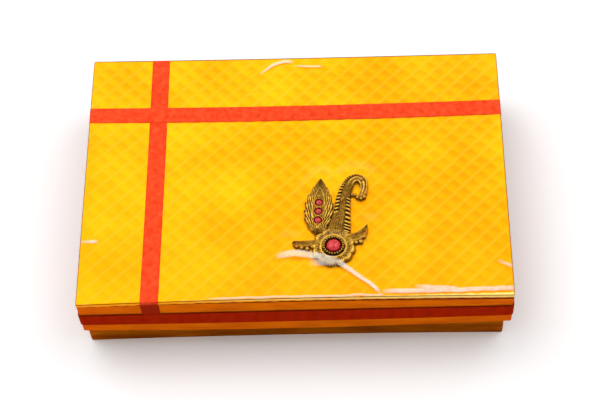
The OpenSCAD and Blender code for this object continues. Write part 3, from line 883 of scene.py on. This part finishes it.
def cast(x, y, z, relief):
    """Casting with a flat back: its front is at height z, and relief is the share that stands out."""
    back = np.full_like(z, CASTING_Z)
    return slab(np.stack([x, y, z], -1), np.stack([x, y, back], -1), relief)


def band(knots, rows, columns, widen, height):
    """Closed cast strip along a curve, for shares t along it and s across it from -1 to 1. widen(t, s)
    scales its half width, and height(t, s) gives its relief from 0 to 1. Its edge is rounded by
    sqrt(1 - |s|^5)."""
    t, s = np.meshgrid(np.linspace(0, 1, rows), np.linspace(-1, 1, columns), indexing="ij")
    q = along_curve(knots, t)
    ahead = along_curve(knots, np.minimum(t + 0.01, 1)) - along_curve(knots, np.maximum(t - 0.01, 0))
    length = np.maximum(np.hypot(ahead[..., 0], ahead[..., 1]), 1e-9)
    nx, ny = -ahead[..., 1] / length, ahead[..., 0] / length
    half = q[..., 2] * widen(t, s)
    relief = height(t, s)
    round_edge = np.sqrt(np.clip(1 - np.abs(s) ** 5, 0, 1))
    z = CASTING_Z + BIRD_T * (0.28 + 0.52 * round_edge + 0.42 * relief * (0.35 + 0.65 * round_edge))
    return cast(q[..., 0] + nx * s * half, q[..., 1] + ny * s * half, z, relief)


def saw(v):
    """Rise from 0 to 1 in each unit: v - floor(v)."""
    return v - np.floor(v)


def hump(v, middle, width):
    """Smooth hump of height 1: exp(-((v - middle) / width)^2)."""
    return np.exp(-(((v - middle) / width) ** 2))


def comb(t, s):
    """Where the comb runs, and its teeth: they fill the outer half of each side, on the left up to the
    arch and on the right below the beak, and slant outwards."""
    left = step(0.19, 0.24, t) * (1 - step(0.6, 0.66, t))
    right = step(0.07, 0.1, t) * (1 - step(0.31, 0.35, t))
    side = np.where(s > 0, left, right)
    slanted = saw(t * NECK_TEETH + 0.5 * np.abs(s))
    return side, step(0.3, 0.4, slanted) * (1 - step(0.82, 0.95, slanted)) * step(0.42, 0.5, np.abs(s))


def neck_relief(t, s):
    """Comb teeth along both edges, grains on the body, and ridges that run along the arch and head."""
    side, tooth = comb(t, s)
    grain = 0.5 + 0.24 * np.cos(2 * pi * (t * 58 + 2.4 * s)) * np.cos(2 * pi * (t * 58 - 2.4 * s))
    ridges = 0.62 + 0.22 * np.cos(2.4 * pi * s)
    arch = step(0.42, 0.55, t)
    inner = grain * (1 - arch) + ridges * arch
    outer = step(0.44, 0.5, np.abs(s)) * side
    seam = 0.35 * hump(np.abs(s), 0.44, 0.05) * side
    eye = 0.5 * hump(t, 0.72, 0.012) * hump(s, 0, 0.3)
    return np.clip(inner * (1 - outer) + tooth * side * 0.95 - seam - eye, 0, 1)


def neck_width(t, s):
    """The half width swells at each tooth, and once more at the head."""
    side, tooth = comb(t, np.where(s > 0, 0.9, -0.9))
    return 1 + 0.12 * (tooth - 0.5) * side + 0.18 * hump(t, 0.73, 0.04)


def even_width(t, s):
    """The wings keep the half widths of their middle lines."""
    return 1.0


def wing_relief(t, s):
    """Grains along the wing between a ridge on each edge."""
    grain = 0.5 + 0.22 * np.cos(2 * pi * (t * 17 + 1.2 * s)) * np.cos(2 * pi * (t * 17 - 1.2 * s))
    return np.clip(grain + 0.45 * hump(np.abs(s), 0.8, 0.16), 0, 1)


def dome(x, y, radius, low, high, rings=8, sides=24):
    """Domed button: a quarter ellipse turned about its axis, closed flat underneath."""
    angle = np.linspace(0, 2 * pi, sides, endpoint=False)[None, :]
    turn = np.linspace(0, pi / 2, rings)[:, None]
    r = np.vstack([radius * np.sin(turn), [[radius]], [[0.0]]])
    z = np.vstack([low + (high - low) * np.cos(turn), [[low]], [[low]]])
    relief = np.vstack([np.cos(turn * 0.9), [[0.0]], [[0.0]]])
    grid = np.stack([x + r * np.cos(angle), y + r * np.sin(angle), z + 0 * angle], -1)
    return loft(grid, round_v=True, relief=np.broadcast_to(relief, grid.shape[:2]))


def make_bird():
    """Body, neck and head as one band, a band for each wing, and a stepped button for each curl and
    scallop."""
    parts = [band(NECK, 300, 27, neck_width, neck_relief)]
    for wing in (LEFT_WING, RIGHT_WING):
        parts.append(band(wing, 110, 17, even_width, wing_relief))
    for x, y, radius in CURLS + SCALLOPS:
        parts.append(dome(x, y, radius, CASTING_Z, CASTING_Z + BUTTON_H))
        parts.append(dome(x, y, 0.45 * radius, CASTING_Z, CASTING_Z + BUTTON_TIP_H, 6, 16))
    piece("ornament_bird", parts, "antique_gold", "lid", warp_ornament)


def leaf(t):
    """Half width of the feather as a full leaf: W/2 sin(pi t^0.8)^0.75."""
    return FEATHER_W / 2 * np.clip(np.sin(pi * t ** 0.8), 0, 1) ** 0.75


def feather_place(x, y):
    """Point at x across the feather and y up it, turned by its lean about its foot."""
    lean = radians(-FEATHER_LEAN)
    across = x * np.cos(lean) - y * np.sin(lean)
    up = x * np.sin(lean) + y * np.cos(lean)
    return FEATHER_FOOT[0] + across, FEATHER_FOOT[1] + up


def stone_places():
    """Middles of the feather's stones, at equal steps up its spine."""
    for k in range(STONES):
        yield feather_place(0, FIRST_STONE * FEATHER_L + k * STONE_PITCH)


def make_feather():
    """Leaf of flame-shaped strands round a pointed eye. The strands run up the leaf, so their relief is
    a wave of 6.2 |s|^0.9 - 0.9 t that wanders a little, and each barb swells the edge up to its tip. A
    collar stands round each stone's well."""
    t, s = np.meshgrid(np.linspace(0.002, 0.998, 200), np.linspace(-1, 1, 81), indexing="ij")
    half = leaf(t) * (1 - BARB_DEPTH + BARB_DEPTH * saw(t * BARBS))
    wander = 0.16 * np.sin(7 * t + 2 * s) + 0.07 * np.sin(23 * t - 5 * s)
    strands = 0.5 + 0.5 * np.cos(2 * pi * (6.2 * np.abs(s) ** 0.9 - 0.9 * t + wander))
    tips = step(0.55, 1.0, saw(t * BARBS + 0.35 * np.abs(s))) * step(0.55, 0.8, np.abs(s))
    relief = np.clip(0.2 + 0.62 * strands + 0.3 * tips, 0, 1)
    x0, y0 = s * half, FEATHER_L * t
    eye_t = np.clip((t - 0.1) / 0.74, 0, 1)
    eye_half = 0.42 * FEATHER_W / 2 * np.sin(pi * eye_t) ** 0.8
    inside = eye_half - np.abs(x0)
    ridge = hump(inside, 0.35, 0.4) * (eye_half > 0.1)
    eye = step(0.7, 1.1, inside)
    eye_lines = 0.5 + 0.2 * np.cos(2 * pi * (np.abs(x0) / 1.3 + y0 / 3.2))
    relief = relief * (1 - step(-0.1, 0.3, inside)) + ridge + eye * eye_lines
    lift = 0.35 * step(-0.2, 0.6, inside)
    place_x, place_y = feather_place(x0, y0)
    for sx, sy in stone_places():
        away = np.hypot(place_x - sx, place_y - sy)
        collar = hump(away, STONE_R + 0.75, 0.35)
        well = 1 - step(STONE_R + 0.1, STONE_R + 0.5, away)
        relief = relief * (1 - step(0, 1, 1 - (away - STONE_R - 0.9) / 0.4)) + collar
        lift = lift * (1 - well) - 0.5 * well + 0.3 * collar
    edge = np.sqrt(np.clip(1 - np.abs(s) ** 6, 0, 1))
    z = CASTING_Z + FEATHER_T * (0.35 + 0.55 * edge) + 0.55 * np.clip(relief, 0, 1) * edge + lift
    parts = [cast(place_x, place_y, z, np.clip(relief, 0, 1))]
    piece("ornament_feather", parts, "antique_gold", "lid", warp_ornament)


def make_rosette():
    """Flower turned about its axis: its outline swells at each petal by |cos|, and each petal is a
    dome with a raised rim and rows of beads, outside a ring of shorter inner petals."""
    angle = np.linspace(0, 2 * pi, 360, endpoint=False)[None, :]
    share = np.linspace(0, 1, 56)[:, None]
    turn = PETALS * (angle - radians(PETAL_TURN)) / 2
    lobe = np.abs(np.cos(turn))
    radius = share * (ROSETTE_R - 1.5 * (1 - lobe ** 0.6))
    across = np.arctan(np.tan(turn)) / (pi / 2)
    rim = hump(np.maximum(share, np.abs(across) * step(0.45, 0.7, share)), 0.88, 0.07)
    beads = np.cos(pi * across * 2.0) ** 2 * np.cos(pi * share * 9) ** 2 * step(0.5, 0.58, share)
    inner_lobe = np.abs(np.cos(PETALS * (angle - radians(INNER_TURN)) / 2))
    inner_rim = hump(share, 0.56 + 0.05 * inner_lobe, 0.035)
    relief = np.clip(0.32 + 0.5 * beads + 0.5 * rim * step(0.5, 0.65, share) + 0.6 * inner_rim, 0, 1)
    crown = 1.7 + 0.35 * np.sqrt(np.clip(lobe, 0, 1)) * np.clip(np.sin(pi * (share - 0.42) / 0.58), 0, 1)
    fall = np.sqrt(np.clip(1 - share ** 10, 0, 1))
    z = CASTING_Z + 0.7 + (crown - 0.7) * fall + 0.55 * relief * fall
    grid = np.stack([radius * np.cos(angle), radius * np.sin(angle), z + 0 * angle], -1)
    skirt = grid[-1:].copy()
    skirt[..., 2] = CASTING_Z
    hub = skirt * np.array([0, 0, 1])
    full = np.vstack([grid, skirt, hub])
    relief = np.vstack([relief + 0 * angle, np.zeros((2, angle.size))])
    parts = [loft(full, round_v=True, relief=relief)]
    piece("ornament_rosette", parts, "antique_gold", "lid", warp_ornament)


def make_bead_ring():
    """Ring of beads on a low band: domes at equal angles, and a band turned about the same axis."""
    angle = np.linspace(0, 2 * pi, 96, endpoint=False)[None, :]
    r = np.array(BAND_R)[:, None]
    z = np.array(BAND_Z)[:, None] + ROSETTE_TOP
    band_grid = np.stack([r * np.cos(angle), r * np.sin(angle), z + 0 * angle], -1)
    low_relief = np.full(band_grid.shape[:2], 0.1)
    parts = [loft(band_grid, round_u=True, round_v=True, relief=low_relief)]
    low, high = (ROSETTE_TOP + height for height in BEAD_Z)
    for k in range(BEADS):
        at = 2 * pi * k / BEADS
        parts.append(dome(BEAD_RING_R * np.cos(at), BEAD_RING_R * np.sin(at), BEAD_R, low, high, 6, 14))
    piece("ornament_bead_ring", parts, "antique_gold", "lid", warp_ornament)


def make_stones():
    """Large stone on the rosette, and small ones sunk into the feather's wells."""
    big = [dome(0, 0, CABOCHON_R, ROSETTE_TOP, ROSETTE_TOP + CABOCHON_H, 20, 48)]
    piece("ornament_cabochon", big, "large_stone", "lid", warp_ornament, sharp=60)
    seat = CASTING_Z + FEATHER_T
    for number, (x, y) in enumerate(stone_places(), 1):
        small = [dome(x, y, STONE_R, seat - STONE_SINK, seat + STONE_H, 20, 48)]
        piece(f"feather_stone_{number}", small, "red_stone", "lid", warp_ornament, sharp=60)


def make_pads():
    """Foam pads between the panel and the castings."""
    low, high = TOP_Z / MM - PAD_SINK, CASTING_Z + PAD_PRESS
    parts = [dome(x, y, radius, low, high, 10, 48) for x, y, radius in PADS]
    made = piece("ornament_pads", parts, "foam_tape", "lid", warp_ornament)


def near_line(x, y, knots, rows=60):
    """Distance from each point to the band along a curve, less the band's half width."""
    spine = along_curve(knots, np.linspace(0, 1, rows))
    away = np.hypot(x[..., None] - spine[:, 0], y[..., None] - spine[:, 1]) - spine[:, 2]
    return away.min(-1)


def tent_height(p, q):
    """Height of the film over the panel: it is held up by the stone and the castings, and slopes down
    round them as a taut skin does."""
    x, y = (p - ROSETTE_X) / MM, (q - ROSETTE_Y) / MM
    foot, tip = np.array(feather_place(0, 0)), np.array(feather_place(0, FEATHER_L))
    middle = (foot + tip) / 2
    feather = ((*foot, 3), (*middle, 12), (*tip, 1))
    away = np.minimum.reduce([near_line(x, y, k) for k in (NECK, LEFT_WING, RIGHT_WING, feather)])
    low = CASTING_FILM * (1 - step(0, CASTING_SLOPE, away))
    high = STONE_FILM * (1 - step(*STONE_SLOPE, np.hypot(x, y)) ** 0.8)
    return np.maximum(low, high) * MM


def make_film():
    """Film folded over the whole lid, stretched over the ornament and rippled a little."""
    p, q = np.meshgrid(fold_stations(HALF_W, FILM_STEP, TOP_Z - LID_Z, 10),
                       fold_stations(HALF_D, FILM_STEP, TOP_Z - LID_Z, 10), indexing="ij")
    ripple = FILM_RIPPLE * (np.sin(p / (7 * MM) + 2 * np.sin(q / (19 * MM))) + 1)
    out = FILM_OUT + tent_height(p, q) + ripple
    upper, lower = over_lid(p, q, out), over_lid(p, q, out - FILM_T)
    piece("lid_film", [slab(upper, lower)], "clear_film", "lid", warp_lid)


def make_camera():
    """Camera that looks down by its pitch, to the left of straight ahead by its yaw, and is then rolled."""
    pitch, roll, yaw = (radians(v) for v in (CAMERA_PITCH, CAMERA_ROLL, CAMERA_YAW))
    ahead = Vector((-np.sin(yaw), np.cos(yaw), 0))
    level = Vector((np.cos(yaw), np.sin(yaw), 0))
    forward = ahead * np.cos(pitch) + Vector((0, 0, -np.sin(pitch)))
    upward = level.cross(forward)
    right = level * np.cos(roll) + upward * np.sin(roll)
    up = upward * np.cos(roll) - level * np.sin(roll)
    camera = bpy.data.objects.new("camera", bpy.data.cameras.new("camera"))
    camera.data.sensor_width = SENSOR_W
    camera.data.lens = FOCAL_PIXELS / PHOTO_W * SENSOR_W
    camera.data.clip_end = 50
    turn = Matrix((right, up, -forward)).transposed().to_4x4()
    camera.matrix_world = Matrix.Translation(CAMERA_AT) @ turn
    bpy.context.scene.collection.objects.link(camera)
    bpy.context.scene.camera = camera


def soft_box(name, place, size, watts):
    """Square studio lamp that faces the box."""
    lamp = bpy.data.lights.new(name, "AREA")
    lamp.size = size
    lamp.energy = watts
    made = bpy.data.objects.new(name, lamp)
    made.location = place
    made.rotation_euler = (Vector(LAMP_AIM) - Vector(place)).to_track_quat("-Z", "Y").to_euler()
    bpy.context.scene.collection.objects.link(made)


def make_world():
    """World that is white where it is seen, and duller as light on the object."""
    world = bpy.data.worlds.new("studio")
    bpy.context.scene.world = world
    world.use_nodes = True
    nodes, links = world.node_tree.nodes, world.node_tree.links
    path = nodes.new("ShaderNodeLightPath")
    seen = path.outputs["Is Camera Ray"]
    for ray in ("Is Glossy Ray", "Is Transmission Ray"):
        either = nodes.new("ShaderNodeMath")
        either.operation = "MAXIMUM"
        links.new(seen, either.inputs[0])
        links.new(path.outputs[ray], either.inputs[1])
        seen = either.outputs[0]
    level = nodes.new("ShaderNodeMapRange")
    level.inputs["To Min"].default_value = WORLD_LEVEL
    level.inputs["To Max"].default_value = 1.0
    links.new(seen, level.inputs["Value"])
    background = nodes["Background"]
    background.inputs["Color"].default_value = (1, 1, 1, 1)
    links.new(level.outputs[0], background.inputs["Strength"])


def make_floor():
    floor = bpy.data.meshes.new("floor")
    corners = [(x * FLOOR_REACH, y * FLOOR_REACH, 0) for x, y in ((-1, -1), (1, -1), (1, 1), (-1, 1))]
    floor.from_pydata(corners, [], [(0, 1, 2, 3)])
    floor.materials.append(floor_finish())
    made = bpy.data.objects.new("floor", floor)
    bpy.context.scene.collection.objects.link(made)


make_camera()
make_lid_shells()
make_base_shells()
make_stays()
make_top_sheet()
make_top_ribbon("ribbon_crosswise", 1, CROSS_X, flat_out, HALF_D)
make_top_ribbon("ribbon_lengthwise", 0, LENGTH_Y, crossing, HALF_W)
make_rim_ribbon()
make_pads()
make_feather()
make_bird()
make_rosette()
make_bead_ring()
make_stones()
make_film()
make_world()
make_floor()
soft_box("left soft box", *LEFT_BOX)
soft_box("right soft box", *RIGHT_BOX)

bpy.context.scene.view_settings.view_transform = "Standard"
